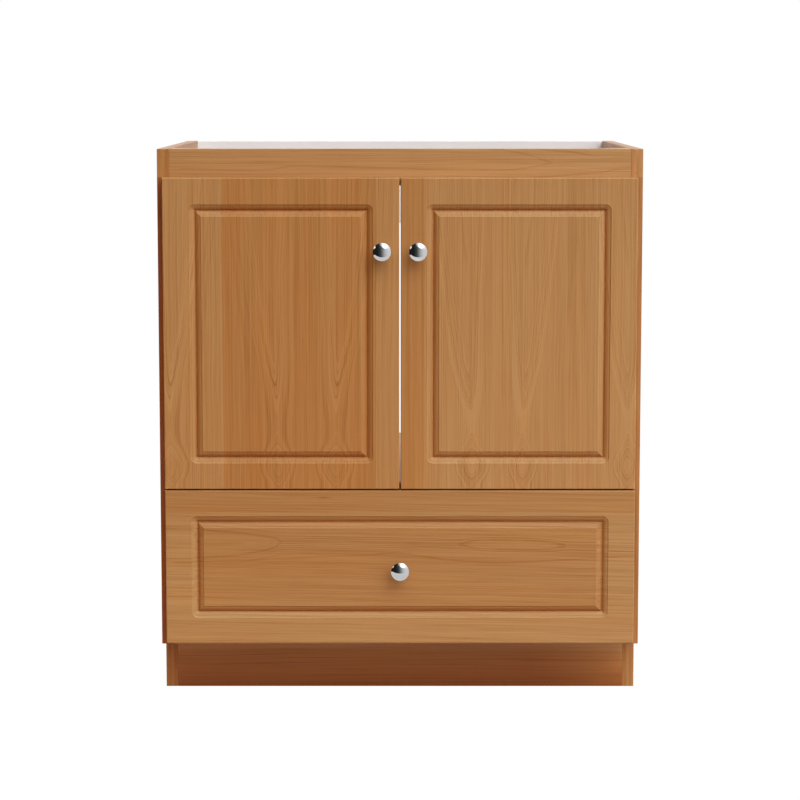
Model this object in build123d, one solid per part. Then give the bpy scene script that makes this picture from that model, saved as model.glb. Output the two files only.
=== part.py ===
from build123d import *
import math
import os

# Sink base cabinet: two doors over one full-width drawer, open top and open back.
# Millimetres. +X is to the right, +Y goes from the front to the back, +Z is up.
# The origin is on the floor, midway across and midway between knob tips and back.

# ---- Driving dimensions: carcass ----
WIDTH = 762.0
HEIGHT = 876.3
DEPTH = 533.4
PANEL = 19.05
TOE_HEIGHT = 86.0
TOE_RECESS = 62.0
TOP_RAIL_HEIGHT = 57.15
MID_RAIL_HEIGHT = 38.1
DECK_TOP = 347.2
HANGING_RAIL_HEIGHT = 146.0
LOWER_BACK_RAIL_HEIGHT = 101.6
EASE = 0.6

# ---- Driving dimensions: doors and drawer front ----
SIDE_REVEAL = 9.5
TOP_REVEAL = 44.45
DOOR_GAP = 2.4
DOOR_BOTTOM = 340.5
FRONT_TOP = 338.3
FRONT_BOTTOM = 92.1
SLAB = 19.05
FRONT_CLEARANCE = 3.0
EDGE_ROUND = 1.4

# ---- Driving dimensions: routed groove round each raised panel ----
GROOVE_INSET = 50.8
GROOVE_RADIUS = 9.525
GROOVE_LIP = 1.5
GROOVE_LIP_DROP = 1.3
GROOVE_DEPTH = 6.4
GROOVE_FLAT = 0.4
GROOVE_BULGE_DEG = 24.0
CUTTER_RISE = 2.0

# ---- Driving dimensions: knobs ----
KNOB_PROJECTION = 26.5
KNOB_DOME_RADIUS = 20.7
KNOB_DOME_SPAN_DEG = 43.0
KNOB_RIM_RADIUS = 1.3
KNOB_RIM_WRAP_DEG = 62.0
KNOB_BASE_RADIUS = 7.8
KNOB_BASE_LIP = 1.2
KNOB_NECK_RADIUS = 5.6
KNOB_NECK_HEIGHT = 5.0
KNOB_FROM_DOOR_EDGE = 27.0
DOOR_KNOB_HEIGHT = 717.6
DRAWER_KNOB_HEIGHT = 211.8
KNOB_SCREW_RADIUS = 2.0
KNOB_SCREW_BITE = 10.0

# ---- Driving dimensions: concealed hinges ----
HINGE_FROM_DOOR_END = 89.0
HINGE_PIVOT_IN = 7.5
HINGE_PIVOT_DEEP = 10.5
CUP_RADIUS = 17.5
CUP_WALL = 1.2
CUP_FLOOR = 0.8
CUP_DEPTH = 13.8
CUP_EDGE = 3.0
CUP_FIT = 0.1
FLANGE = 1.2
FLANGE_HALF_HEIGHT = 31.0
FLANGE_CORNER = 7.0
CHEEK_NEAR = 4.0
CHEEK_FAR = 9.6
CHEEK_REACH = 3.4
CHEEK_INTO_WALL = 0.2
CUP_SCREW_PAST_CENTRE = 5.5
CUP_SCREW_UP = 25.0
PIN_RADIUS = 1.1
PIN_HALF_LENGTH = 8.5
PIN_RUNNING_FIT = 0.05
HUB_RADIUS = 2.2
HUB_HALF_LENGTH = 3.5
ARM_LEG_HALF = 1.0
ARM_OFFSET = 13.5
ARM_WEB = 2.5
ARM_HALF_WIDTH = 7.7
ARM_NECK_BACK = 12.0
ARM_WEB_SPAN = (4.0, 60.0)
ARM_WEB_CORNER = 3.0
ARM_LIP_SPAN = (14.0, 56.0)
ARM_LIP_DROP = 5.0
ARM_LIP_SHEET = 1.4
ARM_SCREWS_BACK = (24.0, 48.0)
ARM_SCREW_RADIUS = 2.0
ARM_SCREW_BITE = 6.0
ARM_SCREW_HEAD_RADIUS = 3.4
ARM_SCREW_HEAD = 1.8
ARM_SCREW_CROSS = 0.9
ARM_SCREW_CROSS_HALF = 2.0
PLATE_SHEET = 2.0
PLATE_WING_SPAN = (26.0, 48.0)
PLATE_WING_HALF_HEIGHT = 24.0
PLATE_WING_CORNER = 6.0
PLATE_SPINE_SPAN = (14.0, 60.0)
PLATE_SPINE_HALF_HEIGHT = 8.0
PLATE_SPINE_CORNER = 2.0
PLATE_SADDLE_SPAN = (16.0, 58.0)
PLATE_SADDLE_HALF_HEIGHT = 5.4
PLATE_SCREW_BACK = 37.0
PLATE_SCREW_UP = 16.0

# ---- Driving dimensions: drawer box and slides ----
BOX_BOARD = 12.7
BOX_DEPTH = 457.2
BOX_HEIGHT = 165.1
BOX_LIFT = 15.0
BOX_BOTTOM_PLY = 6.35
BOX_BOTTOM_UP = 12.7
BOX_TOP_ROUND = 1.5
FRONT_SCREW_OUT = 250.0
FRONT_SCREW_ABOVE_BOTTOM = 42.0
FRONT_SCREW_BELOW_TOP = 32.0
TAILS = 4
TAIL_TIP = 27.0
TAIL_ROOT = 21.0
SLIDE_GAP = 12.7
SLIDE_LENGTH = 450.0
SLIDE_SETBACK = 2.0
SLIDE_CENTRE = 190.0
SLIDE_SHEET = 1.2
SLIDE_LIP = 1.7
SLIDE_SCREWS_BACK = (35.0, 190.0, 415.0)
BALL_RADIUS = 1.6
BALL_PLAY = 0.1
BALLS_PER_STRIP = 8
BALL_PITCH = 16.0
STRIP_HALF_WIDTH = 2.3
STRIP_HALF_SHEET = 0.4
STRIP_FROM_END = 22.0
OUTER_STRIP_OUT = 5.2
INNER_STRIP_OUT = 7.6

# ---- Worked-out planes and edges ----
OVERALL_DEPTH = DEPTH + FRONT_CLEARANCE + SLAB + KNOB_PROJECTION
Y_BACK = OVERALL_DEPTH / 2
Y_FRONT = Y_BACK - DEPTH
Y_SLAB_BACK = Y_FRONT - FRONT_CLEARANCE
Y_SLAB_FRONT = Y_SLAB_BACK - SLAB
Y_TOE = Y_FRONT + TOE_RECESS
X_SIDE = WIDTH / 2
X_INNER = X_SIDE - PANEL
X_DOOR_OUT = X_SIDE - SIDE_REVEAL
X_DOOR_IN = DOOR_GAP / 2
DOOR_TOP = HEIGHT - TOP_REVEAL
FLOOR_TOP = TOE_HEIGHT + PANEL
X_PIVOT = X_DOOR_OUT - HINGE_PIVOT_IN
Y_PIVOT = Y_SLAB_BACK - HINGE_PIVOT_DEEP
X_CUP = X_DOOR_OUT - CUP_EDGE - CUP_RADIUS
X_KNOB = X_DOOR_IN + KNOB_FROM_DOOR_EDGE
HINGE_HEIGHTS = {
    "upper": DOOR_TOP - HINGE_FROM_DOOR_END,
    "lower": DOOR_BOTTOM + HINGE_FROM_DOOR_END,
}
BOX_X = X_INNER - SLIDE_GAP
BOX_Z = FLOOR_TOP + BOX_LIFT


# ---- Small helpers ----
def block(x, y, z):
    """A rectangular block between the low and high value given for each axis."""
    size = [high - low for low, high in (x, y, z)]
    middle = [(high + low) / 2 for low, high in (x, y, z)]
    return Pos(*middle) * Box(*size)


def board(x, y, z, ease=EASE):
    """A block whose twelve edges are slightly rounded, as sanded boards are."""
    plain = block(x, y, z)
    return fillet(plain.edges(), ease)


def rod(direction, centre, radius, length):
    """A cylinder centred on a point, along one axis."""
    turn = {"x": Rot(0, 90, 0), "y": Rot(90, 0, 0), "z": Rot(0, 0, 0)}[direction]
    return Pos(*centre) * turn * Cylinder(radius, length)


def turned(points):
    """A solid of revolution about Z from (radius, height) points."""
    return revolve(Plane.XZ * make_face(Polyline(*points, close=True)), axis=Axis.Z)


def prism_across(points, x_low, x_high):
    """A (y, z) outline extruded across the cabinet."""
    face = Plane.YZ * make_face(Polyline(*points, close=True))
    return Pos(x_low, 0, 0) * extrude(face, amount=x_high - x_low)


def prism_up(points, z_low, z_high):
    """An (x, y) outline extruded upwards."""
    face = make_face(Polyline(*points, close=True))
    return Pos(0, 0, z_low) * extrude(face, amount=z_high - z_low)


def to_right(shape):
    """The mirror image of a left-hand piece."""
    return mirror(shape, about=Plane.YZ)


def join(shapes):
    """Separate solids kept together as one group."""
    return Compound(children=list(shapes))


def cut(body, tools):
    """A body less each tool in turn."""
    for tool in tools:
        body = body - tool
    return body


# ---- Fasteners ----
def flat_screw_hole(at, towards, head_radius, shank_radius, length):
    """The space of a countersunk wood screw: its head lies at a point, its shank runs on."""
    head_height = head_radius - shank_radius
    tip_height = shank_radius * 1.6
    tip_radius = 0.3
    shape = turned(
        [
            (0, 0),
            (head_radius, 0),
            (shank_radius, -head_height),
            (shank_radius, tip_height - length),
            (tip_radius, -length),
            (0, -length),
        ]
    )
    return Plane(origin=at, z_dir=Vector(*towards) * -1) * shape


def flat_screw(at, towards, **sizes):
    """The same screw with a cross recess in its head."""
    wide = sizes["head_radius"]
    deep = wide * 0.5
    narrow = 0.7
    recess = Box(wide, narrow, deep) + Box(narrow, wide, deep)
    recess = Plane(origin=at, z_dir=Vector(*towards) * -1) * recess
    return flat_screw_hole(at, towards, **sizes) - recess


def knob_screw(x, y_head, y_tip, z):
    """A machine screw with a pan head behind the slab and its tip in the knob."""
    head_radius = 4.2
    head_height = 2.2
    shank = rod("y", (x, (y_head + y_tip) / 2, z), KNOB_SCREW_RADIUS, y_head - y_tip)
    head = rod("y", (x, y_head + head_height / 2, z), head_radius, head_height)
    slot_width = 1.0
    slot_depth = 1.1
    slot = block(
        (x - head_radius, x + head_radius),
        (y_head + head_height - slot_depth, y_head + head_height),
        (z - slot_width / 2, z + slot_width / 2),
    )
    return shank + head - slot


DOWEL_RADIUS = 4.0
DOWEL_IN_SIDE = 12.0
DOWEL_LENGTH = 30.0
DOWEL_FROM_PANEL_END = 60.0
DOWEL_IN_TOP_RAIL = 15.0
DOWEL_IN_MID_RAIL = 9.0
DOWEL_IN_HANGING_RAIL = 30.0
DOWEL_IN_LOW_BOARDS = 24.0


def dowel_places():
    """(y, z) of every glued dowel between one side panel and the boards across."""
    rail_y = Y_FRONT + PANEL / 2
    back_y = Y_BACK - PANEL / 2
    toe_y = Y_TOE + PANEL / 2
    panel_ys = (
        Y_FRONT + DOWEL_FROM_PANEL_END,
        Y_FRONT + DEPTH / 2,
        Y_BACK - DOWEL_FROM_PANEL_END,
    )

    def pair(y, low, high, inset):
        """One dowel near each edge of an upright board."""
        return [(y, low + inset), (y, high - inset)]

    places = pair(rail_y, HEIGHT - TOP_RAIL_HEIGHT, HEIGHT, DOWEL_IN_TOP_RAIL)
    places += pair(rail_y, DECK_TOP - MID_RAIL_HEIGHT, DECK_TOP, DOWEL_IN_MID_RAIL)
    places += [(y, DECK_TOP - PANEL / 2) for y in panel_ys]
    places += [(y, TOE_HEIGHT + PANEL / 2) for y in panel_ys]
    places += pair(toe_y, 0, TOE_HEIGHT, DOWEL_IN_LOW_BOARDS)
    places += pair(back_y, HEIGHT - HANGING_RAIL_HEIGHT, HEIGHT, DOWEL_IN_HANGING_RAIL)
    low_rail_top = FLOOR_TOP + LOWER_BACK_RAIL_HEIGHT
    places += pair(back_y, FLOOR_TOP, low_rail_top, DOWEL_IN_LOW_BOARDS)
    return places


def dowels(side):
    """The dowels of one side: -1 left, +1 right."""
    middle = X_INNER + DOWEL_IN_SIDE - DOWEL_LENGTH / 2
    return [
        rod("x", (side * middle, y, z), DOWEL_RADIUS, DOWEL_LENGTH) for y, z in dowel_places()
    ]


ALL_DOWELS = dowels(-1) + dowels(1)


def near(tools, shape):
    """The tools whose boxes reach into a shape's box."""
    box = shape.bounding_box()
    found = []
    for tool in tools:
        other = tool.bounding_box()
        apart = (
            other.min.X > box.max.X
            or other.max.X < box.min.X
            or other.min.Y > box.max.Y
            or other.max.Y < box.min.Y
            or other.min.Z > box.max.Z
            or other.max.Z < box.min.Z
        )
        if not apart:
            found.append(tool)
    return found


# ---- Hinges ----
def plate_screw_places(height):
    """Centres of the two screws that hold one mounting plate, on its outer face."""
    x = -X_INNER + PLATE_SHEET
    y = Y_FRONT + PLATE_SCREW_BACK
    return [(x, y, height - PLATE_SCREW_UP), (x, y, height + PLATE_SCREW_UP)]


def cup_screw_places(height):
    """Centres of the two screws that hold one cup, on its flange."""
    x = -X_CUP + CUP_SCREW_PAST_CENTRE
    y = Y_SLAB_BACK + FLANGE
    return [(x, y, height - CUP_SCREW_UP), (x, y, height + CUP_SCREW_UP)]


def arm_screw_places(height):
    """Centres of the adjusting and the clamping screw of one arm."""
    x = -X_PIVOT + ARM_OFFSET + ARM_WEB
    return [(x, Y_FRONT + back, height) for back in ARM_SCREWS_BACK]


CUP_SCREW = {"head_radius": 3.2, "shank_radius": 1.7, "length": 11.5}
PLATE_SCREW = {"head_radius": 3.4, "shank_radius": 1.8, "length": 15.0}


def hinge_cup(height):
    """Left-hand hinge cup with its flange, cheeks and bearing holes for the pin."""
    pivot_x = -X_PIVOT
    cup_x = -X_CUP
    bottom = Y_SLAB_BACK - CUP_DEPTH
    shell = rod("y", (cup_x, (bottom + Y_SLAB_BACK) / 2, height), CUP_RADIUS, CUP_DEPTH)
    flange = block(
        (-X_DOOR_OUT + CUP_EDGE, -X_DOOR_OUT + CUP_EDGE + 2 * CUP_RADIUS),
        (Y_SLAB_BACK, Y_SLAB_BACK + FLANGE),
        (height - FLANGE_HALF_HEIGHT, height + FLANGE_HALF_HEIGHT),
    )
    flange = fillet(flange.edges().filter_by(Axis.Y), FLANGE_CORNER)
    top = Y_SLAB_BACK + FLANGE
    floor = bottom + CUP_FLOOR
    inner = CUP_RADIUS - CUP_WALL
    hollow = rod("y", (cup_x, (floor + top) / 2, height), inner, top - floor)
    mouth = rod(
        "y", (cup_x, (floor + top) / 2, height), inner + CHEEK_INTO_WALL, top - floor
    )
    cheeks = []
    for low, high in ((-CHEEK_FAR, -CHEEK_NEAR), (CHEEK_NEAR, CHEEK_FAR)):
        cheek = block(
            (-X_DOOR_OUT + CUP_EDGE, pivot_x + CHEEK_REACH),
            (floor, Y_PIVOT + HUB_RADIUS),
            (height + low, height + high),
        )
        cheeks.append(cheek & mouth)
    body = shell + flange - hollow
    for cheek in cheeks:
        body = body + cheek
    pin_hole = rod("z", (pivot_x, Y_PIVOT, height), PIN_RADIUS, 2 * PIN_HALF_LENGTH)
    holes = [flat_screw_hole(at, (0, -1, 0), **CUP_SCREW) for at in cup_screw_places(height)]
    return cut(body, [pin_hole] + holes)


def hinge_pin(height):
    """The pin that the arm's hub turns on."""
    return rod("z", (-X_PIVOT, Y_PIVOT, height), PIN_RADIUS, 2 * PIN_HALF_LENGTH)


def behind_front(span):
    """A span given back from the carcass front, as y values."""
    return (Y_FRONT + span[0], Y_FRONT + span[1])


def about(height, half):
    """The span of a piece that is centred on a height."""
    return (height - half, height + half)


def hinge_plate(height):
    """Left-hand mounting plate: a winged base screwed to the side panel, and its block."""
    sheet = (-X_INNER, -X_INNER + PLATE_SHEET)
    wings = block(sheet, behind_front(PLATE_WING_SPAN), about(height, PLATE_WING_HALF_HEIGHT))
    wings = fillet(wings.edges().filter_by(Axis.X), PLATE_WING_CORNER)
    spine = block(sheet, behind_front(PLATE_SPINE_SPAN), about(height, PLATE_SPINE_HALF_HEIGHT))
    spine = fillet(spine.edges().filter_by(Axis.X), PLATE_SPINE_CORNER)
    saddle = block(
        (-X_INNER + PLATE_SHEET / 2, -X_PIVOT + ARM_OFFSET),
        behind_front(PLATE_SADDLE_SPAN),
        about(height, PLATE_SADDLE_HALF_HEIGHT),
    )
    body = wings + spine + saddle
    holes = [flat_screw_hole(at, (-1, 0, 0), **PLATE_SCREW) for at in plate_screw_places(height)]
    holes += [arm_screw_hole(at) for at in arm_screw_places(height)]
    return cut(body, holes)


def arm_screw_hole(at):
    """The bore of one arm screw through the web and into the saddle."""
    x, y, z = at
    length = ARM_WEB + ARM_SCREW_BITE
    return rod("x", (x - length / 2, y, z), ARM_SCREW_RADIUS, length)


def arm_screw(at):
    """One adjusting screw: its head stands on the arm's web."""
    x, y, z = at
    head = rod("x", (x + ARM_SCREW_HEAD / 2, y, z), ARM_SCREW_HEAD_RADIUS, ARM_SCREW_HEAD)
    recess = (x + ARM_SCREW_HEAD / 2, x + ARM_SCREW_HEAD)
    narrow = ARM_SCREW_CROSS / 2
    wide = block(recess, about(y, ARM_SCREW_CROSS_HALF), about(z, narrow))
    tall = block(recess, about(y, narrow), about(z, ARM_SCREW_CROSS_HALF))
    return arm_screw_hole(at) + head - wide - tall


def hinge_arm(height):
    """Left-hand hinge arm: hub, cranked leg, web through the cup's mouth, channel on the saddle."""
    pivot_x = -X_PIVOT
    web_low = pivot_x + ARM_OFFSET
    web_high = web_low + ARM_WEB
    narrow = about(height, HUB_HALF_LENGTH)
    leg_front = Y_PIVOT - ARM_LEG_HALF
    hub = rod("z", (pivot_x, Y_PIVOT, height), HUB_RADIUS, 2 * HUB_HALF_LENGTH)
    leg = block((pivot_x, web_high), (leg_front, Y_PIVOT + ARM_LEG_HALF), narrow)
    neck = block((web_low, web_high), (leg_front, Y_FRONT + ARM_NECK_BACK), narrow)
    web = block((web_low, web_high), behind_front(ARM_WEB_SPAN), about(height, ARM_HALF_WIDTH))
    web = fillet(web.edges().filter_by(Axis.X), ARM_WEB_CORNER)
    body = hub + leg + neck + web
    for side in (-1, 1):
        outer = height + side * ARM_HALF_WIDTH
        inner = outer - side * ARM_LIP_SHEET
        lip = block(
            (web_low - ARM_LIP_DROP, web_low),
            behind_front(ARM_LIP_SPAN),
            (min(outer, inner), max(outer, inner)),
        )
        body = body + lip
    bore_radius = PIN_RADIUS + PIN_RUNNING_FIT
    pin_bore = rod("z", (pivot_x, Y_PIVOT, height), bore_radius, 4 * HUB_HALF_LENGTH)
    return cut(body, [pin_bore] + [arm_screw_hole(at) for at in arm_screw_places(height)])


# ---- Drawer slides, left-hand, measured from the side panel's face (u) and its centre (v) ----
def slide_member(sheet_u, flange_u, half_height, y_start, lip=None):
    """A C-shaped steel member: a web, two flanges and optional lips."""
    y = (y_start, y_start + SLIDE_LENGTH)
    web_low, web_high = sheet_u
    low, high = SLIDE_CENTRE - half_height, SLIDE_CENTRE + half_height
    body = block((-X_INNER + web_low, -X_INNER + web_high), y, (low, high))
    flange_low, flange_high = flange_u
    x = (-X_INNER + flange_low, -X_INNER + flange_high)
    body = body + block(x, y, (low, low + SLIDE_SHEET))
    body = body + block(x, y, (high - SLIDE_SHEET, high))
    if lip:
        x = (-X_INNER + flange_high - SLIDE_SHEET, -X_INNER + flange_high)
        body = body + block(x, y, (low, low + SLIDE_SHEET + lip))
        body = body + block(x, y, (high - SLIDE_SHEET - lip, high))
    return body


SLIDE_Y = Y_FRONT + SLIDE_SETBACK
OUTER_HALF = 22.8
MIDDLE_HALF = 17.8
INNER_HALF = 12.6
OUTER_REACH = 9.2
MIDDLE_WEB = 3.2
MIDDLE_REACH = 10.0
INNER_START = 5.6
SLIDE_SCREW = {"head_radius": 2.9, "shank_radius": 1.5, "length": 12.0}
SLIDE_HEAD = 0.3


def slide_screw_ys():
    """Distances back along a slide of its three screws."""
    return [SLIDE_Y + distance for distance in SLIDE_SCREWS_BACK]


def outer_slide_screws(side):
    """Places and direction of the screws from the outer member into a side panel."""
    x = side * (X_INNER - SLIDE_SHEET - SLIDE_HEAD)
    return [((x, y, SLIDE_CENTRE), (side, 0, 0)) for y in slide_screw_ys()]


def inner_slide_screws(side):
    """Places and direction of the screws from the inner member into the drawer's side."""
    x = side * (BOX_X + SLIDE_SHEET + SLIDE_HEAD)
    return [((x, y, SLIDE_CENTRE), (-side, 0, 0)) for y in slide_screw_ys()]


def slide_outer():
    """The member on the side panel."""
    body = slide_member((0, SLIDE_SHEET), (0, OUTER_REACH), OUTER_HALF, SLIDE_Y, SLIDE_LIP)
    return cut(body, [flat_screw_hole(*s, **SLIDE_SCREW) for s in outer_slide_screws(-1)])


def slide_middle():
    """The member between, which travels half as far as the drawer."""
    web = (MIDDLE_WEB, MIDDLE_WEB + SLIDE_SHEET)
    return slide_member(web, (MIDDLE_WEB, MIDDLE_REACH), MIDDLE_HALF, SLIDE_Y)


def slide_inner():
    """The member on the drawer's side."""
    web = (SLIDE_GAP - SLIDE_SHEET, SLIDE_GAP)
    body = slide_member(web, (INNER_START, SLIDE_GAP), INNER_HALF, SLIDE_Y)
    return cut(body, [flat_screw_hole(*s, **SLIDE_SCREW) for s in inner_slide_screws(-1)])


def ball_strip(u, v, y_start):
    """One strip of bearing balls: a thin retainer and the balls in its holes."""
    x = -X_INNER + u
    z = SLIDE_CENTRE + v
    length = BALL_PITCH * BALLS_PER_STRIP
    strip = block(
        about(x, STRIP_HALF_WIDTH), (y_start, y_start + length), about(z, STRIP_HALF_SHEET)
    )
    balls = []
    for n in range(BALLS_PER_STRIP):
        y = y_start + BALL_PITCH * (n + 0.5)
        strip = strip - rod("z", (x, y, z), BALL_RADIUS + BALL_PLAY, 4 * STRIP_HALF_SHEET)
        balls.append(Pos(x, y, z) * Sphere(BALL_RADIUS))
    return [strip] + balls


def ball_cage():
    """The four ball strips of one slide: two outside the middle member, two inside it."""
    outer_v = (MIDDLE_HALF + OUTER_HALF - SLIDE_SHEET) / 2
    inner_v = (INNER_HALF + MIDDLE_HALF - SLIDE_SHEET) / 2
    rear = SLIDE_Y + SLIDE_LENGTH - BALL_PITCH * BALLS_PER_STRIP - STRIP_FROM_END
    front = SLIDE_Y + STRIP_FROM_END
    pieces = []
    for side in (-1, 1):
        pieces += ball_strip(OUTER_STRIP_OUT, side * outer_v, rear)
        pieces += ball_strip(INNER_STRIP_OUT, side * inner_v, front)
    return join(pieces)


# ---- Carcass ----
def side_panel():
    """Left side panel with the toe notch at its lower front corner."""
    outline = [
        (Y_TOE, 0),
        (Y_BACK, 0),
        (Y_BACK, HEIGHT),
        (Y_FRONT, HEIGHT),
        (Y_FRONT, TOE_HEIGHT),
        (Y_TOE, TOE_HEIGHT),
    ]
    panel = prism_across(outline, -X_SIDE, -X_INNER)
    panel = fillet(panel.edges(), EASE)
    holes = dowels(-1)
    for height in HINGE_HEIGHTS.values():
        for at in plate_screw_places(height):
            holes.append(flat_screw_hole(at, (-1, 0, 0), **PLATE_SCREW))
    holes += [flat_screw_hole(*s, **SLIDE_SCREW) for s in outer_slide_screws(-1)]
    return cut(panel, holes)


ACROSS = (-X_INNER, X_INNER)


def cross_board(y, z):
    """A board between the side panels, with its dowel holes."""
    body = board(ACROSS, y, z)
    return cut(body, near(ALL_DOWELS, body))


def deck_panel():
    """Floor of the sink compartment, behind the middle rail."""
    return cross_board((Y_FRONT + PANEL, Y_BACK), (DECK_TOP - PANEL, DECK_TOP))


BLOCK_LEG = 52.0
BLOCK_HOLE_RADIUS = 2.5
BLOCK_HOLE_IN = 17.0


def corner_block():
    """Glue block in the left front top corner, with a hole for a countertop screw."""
    x = -X_INNER
    y = Y_FRONT + PANEL
    outline = [(x, y), (x + BLOCK_LEG, y), (x, y + BLOCK_LEG)]
    body = prism_up(outline, HEIGHT - PANEL, HEIGHT)
    hole = rod(
        "z", (x + BLOCK_HOLE_IN, y + BLOCK_HOLE_IN, HEIGHT - PANEL / 2), BLOCK_HOLE_RADIUS, 2 * PANEL
    )
    return body - hole


# ---- Slabs: one board each, with a groove routed round a raised panel ----
def groove_half_outline():
    """Right half of the cutter's section: (distance from its axis, height over the slab)."""
    start = Vector(GROOVE_RADIUS - GROOVE_LIP, -GROOVE_LIP_DROP)
    end = Vector(GROOVE_FLAT, -GROOVE_DEPTH)
    chord = end - start
    rise = chord.length / 2 * math.tan(math.radians(GROOVE_BULGE_DEG) / 2)
    outward = Vector(chord.Y, -chord.X).normalized()
    middle = (start + end) * 0.5 + outward * rise
    return start, middle, end


def groove_corner():
    """The cutter itself, where it turns a corner."""
    start, middle, end = groove_half_outline()
    outline = Line((0, CUTTER_RISE), (GROOVE_RADIUS, CUTTER_RISE))
    outline += Line((GROOVE_RADIUS, CUTTER_RISE), (GROOVE_RADIUS, 0))
    outline += Line((GROOVE_RADIUS, 0), start)
    outline += ThreePointArc(start, middle, end)
    outline += Line(end, (0, -GROOVE_DEPTH))
    outline += Line((0, -GROOVE_DEPTH), (0, CUTTER_RISE))
    return revolve(Plane.XZ * make_face(outline), axis=Axis.Z)


def groove_run(length):
    """The cutter's path along X, centred, with the same section on both sides."""
    start, middle, end = groove_half_outline()
    outline = Line((-GROOVE_RADIUS, CUTTER_RISE), (GROOVE_RADIUS, CUTTER_RISE))
    outline += Line((GROOVE_RADIUS, CUTTER_RISE), (GROOVE_RADIUS, 0))
    outline += Line((GROOVE_RADIUS, 0), start)
    outline += ThreePointArc(start, middle, end)
    outline += Line(end, (-end.X, end.Y))
    outline += ThreePointArc((-end.X, end.Y), (-middle.X, middle.Y), (-start.X, start.Y))
    outline += Line((-start.X, start.Y), (-GROOVE_RADIUS, 0))
    outline += Line((-GROOVE_RADIUS, 0), (-GROOVE_RADIUS, CUTTER_RISE))
    face = Plane.YZ * make_face(outline)
    return Pos(-length / 2, 0, 0) * extrude(face, amount=length)


def raised_slab(width, height):
    """A slab on its back, centred, with its routed face up."""
    slab = block((-width / 2, width / 2), (-height / 2, height / 2), (0, SLAB))
    slab = fillet(slab.edges().group_by(Axis.Z)[-1], EDGE_ROUND)
    slab = fillet(slab.edges().group_by(Axis.Z)[0], EASE)
    across = width / 2 - GROOVE_INSET
    along = height / 2 - GROOVE_INSET
    cutter = []
    for side in (-1, 1):
        cutter.append(Pos(0, side * along, SLAB) * groove_run(2 * across))
        cutter.append(Pos(side * across, 0, SLAB) * Rot(0, 0, 90) * groove_run(2 * along))
        for end in (-1, 1):
            cutter.append(Pos(side * across, end * along, SLAB) * groove_corner())
    return cut(slab, cutter)


def stand(slab, x, z):
    """Stands a slab up in front of the carcass with its routed face forwards."""
    return Pos(x, Y_SLAB_BACK, z) * (Plane.XZ * slab)


def door_panel():
    """Left door with its cup bores and screw holes."""
    width = X_DOOR_OUT - X_DOOR_IN
    height = DOOR_TOP - DOOR_BOTTOM
    body = stand(
        raised_slab(width, height), -(X_DOOR_OUT + X_DOOR_IN) / 2, (DOOR_TOP + DOOR_BOTTOM) / 2
    )
    holes = []
    for level in HINGE_HEIGHTS.values():
        depth = CUP_DEPTH + CUP_FIT
        centre = (-X_CUP, Y_SLAB_BACK - depth / 2, level)
        holes.append(rod("y", centre, CUP_RADIUS + CUP_FIT, depth))
        for at in cup_screw_places(level):
            holes.append(flat_screw_hole(at, (0, -1, 0), **CUP_SCREW))
    centre = (-X_KNOB, (Y_SLAB_BACK + Y_SLAB_FRONT) / 2, DOOR_KNOB_HEIGHT)
    holes.append(rod("y", centre, KNOB_SCREW_RADIUS, 2 * SLAB))
    return cut(body, holes)


# ---- Knobs ----
def around(centre, radius, degrees):
    """A point on a circle; 0 degrees points away from the knob's axis, 90 out of its face."""
    turn = math.radians(degrees)
    return (centre[0] + radius * math.cos(turn), centre[1] + radius * math.sin(turn))


def knob(x, z):
    """A domed knob with a rounded rim, a narrow neck and a bore for its screw."""
    apex = (0, KNOB_PROJECTION)
    dome = (0, KNOB_PROJECTION - KNOB_DOME_RADIUS)
    edge_angle = 90 - KNOB_DOME_SPAN_DEG
    rim = around(dome, KNOB_DOME_RADIUS - KNOB_RIM_RADIUS, edge_angle)
    rim_start = around(rim, KNOB_RIM_RADIUS, edge_angle)
    rim_middle = around(rim, KNOB_RIM_RADIUS, (edge_angle - KNOB_RIM_WRAP_DEG) / 2)
    rim_end = around(rim, KNOB_RIM_RADIUS, -KNOB_RIM_WRAP_DEG)
    lip = (KNOB_BASE_RADIUS, KNOB_BASE_LIP)
    neck = (KNOB_NECK_RADIUS, KNOB_NECK_HEIGHT)
    outline = Line((0, 0), (KNOB_BASE_RADIUS, 0))
    outline += Line((KNOB_BASE_RADIUS, 0), lip)
    outline += ThreePointArc(lip, neck, rim_end)
    outline += ThreePointArc(rim_end, rim_middle, rim_start)
    outline += ThreePointArc(rim_start, around(dome, KNOB_DOME_RADIUS, 90 - KNOB_DOME_SPAN_DEG / 2), apex)
    outline += Line(apex, (0, 0))
    body = revolve(Plane.XZ * make_face(outline), axis=Axis.Z)
    bore = Pos(0, 0, KNOB_SCREW_BITE / 2) * Cylinder(KNOB_SCREW_RADIUS, KNOB_SCREW_BITE)
    return Pos(x, Y_SLAB_FRONT, z) * (Plane.XZ * (body - bore))


# ---- Bumpers ----
BUMPER_RADIUS = 3.1
BUMPER_HEIGHT = 2.6
DOOR_BUMPER_IN = 12.0
DRAWER_BUMPER_IN = 9.0


def bumpers(places):
    """Soft bumpers on the back of a slab, at (x, z) places."""
    y = Y_SLAB_BACK + BUMPER_HEIGHT / 2
    return join(rod("y", (x, y, z), BUMPER_RADIUS, BUMPER_HEIGHT) for x, z in places)


def door_bumpers(side):
    """The two bumpers of one door, near its free edge."""
    x = side * (X_DOOR_IN + DOOR_BUMPER_IN)
    top = (HEIGHT - TOP_RAIL_HEIGHT + DOOR_TOP) / 2
    bottom = (DOOR_BOTTOM + DECK_TOP) / 2
    return bumpers([(x, top), (x, bottom)])


def drawer_bumpers():
    """The four bumpers of the drawer front, near its corners."""
    x = (X_INNER + X_DOOR_OUT) / 2
    heights = (FRONT_BOTTOM + DRAWER_BUMPER_IN, FRONT_TOP - DRAWER_BUMPER_IN)
    return bumpers([(side * x, z) for side in (-1, 1) for z in heights])


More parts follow.
